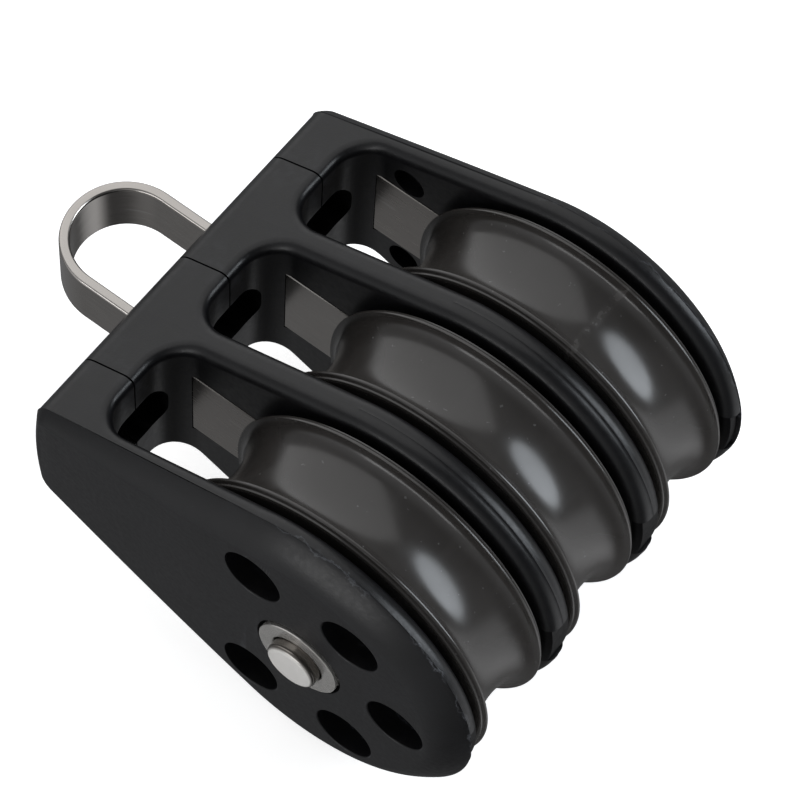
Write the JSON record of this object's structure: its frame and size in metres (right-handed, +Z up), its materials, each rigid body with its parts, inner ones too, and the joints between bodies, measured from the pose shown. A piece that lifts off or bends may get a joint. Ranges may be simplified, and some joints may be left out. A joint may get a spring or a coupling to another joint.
{
  "type": "sheave block",
  "caption": "Boat rope block: grooved sheaves side by side on one axle between teardrop plastic cheeks, with steel straps and a fixed bow eye to hang it by.",
  "frame": {"origin": "middle of the block's footprint as it is set down on the cheeks' lower rims, halfway along the axle", "axes": "+X along the block from the bow eye to the round tail, +Y along the axle from the near cheek to the far cheek, +Z up across the cheeks' height"},
  "size_m": [0.081, 0.0628, 0.046],
  "materials": {
    "cheek_nylon": "black glass-filled nylon, satin, with fine mould lines",
    "sheave_acetal": "dark grey acetal, smooth and softly glossy",
    "bush_plastic": "turned bearing plastic",
    "bow_steel": "stainless strip, brushed lengthwise, edges polished",
    "strap_steel": "stainless sheet, brushed lengthwise",
    "pin_steel": "turned stainless",
    "washer_steel": "turned stainless"
  },
  "bodies": {
    "frame": {"outer_cheek_near": "cheek_nylon", "outer_cheek_far": "cheek_nylon", "inner_cheek_near": "cheek_nylon", "inner_cheek_far": "cheek_nylon", "bow_eye": "bow_steel", "side_strap_near_outer": "strap_steel", "side_strap_near_inner": "strap_steel", "side_strap_far_inner": "strap_steel", "side_strap_far_outer": "strap_steel", "axle_pin": "pin_steel", "axle_washer_near": "washer_steel", "axle_washer_far": "washer_steel", "head_pin": "pin_steel"},
    "near_sheave": {"sheave_near": "sheave_acetal", "sheave_bush_near": "bush_plastic"},
    "mid_sheave": {"sheave_mid": "sheave_acetal", "sheave_bush_mid": "bush_plastic"},
    "far_sheave": {"sheave_far": "sheave_acetal", "sheave_bush_far": "bush_plastic"}
  },
  "joints": [
    {"name": "sheave_near_spin", "type": "hinge", "parent": "frame", "child": "near_sheave", "pos_m": [0.01748, -0.018, 0.023], "axis": [0, 1, 0], "continuous": true},
    {"name": "sheave_mid_spin", "type": "hinge", "parent": "frame", "child": "mid_sheave", "pos_m": [0.01748, 0, 0.023], "axis": [0, 1, 0], "continuous": true},
    {"name": "sheave_far_spin", "type": "hinge", "parent": "frame", "child": "far_sheave", "pos_m": [0.01748, 0.018, 0.023], "axis": [0, 1, 0], "continuous": true}
  ]
}
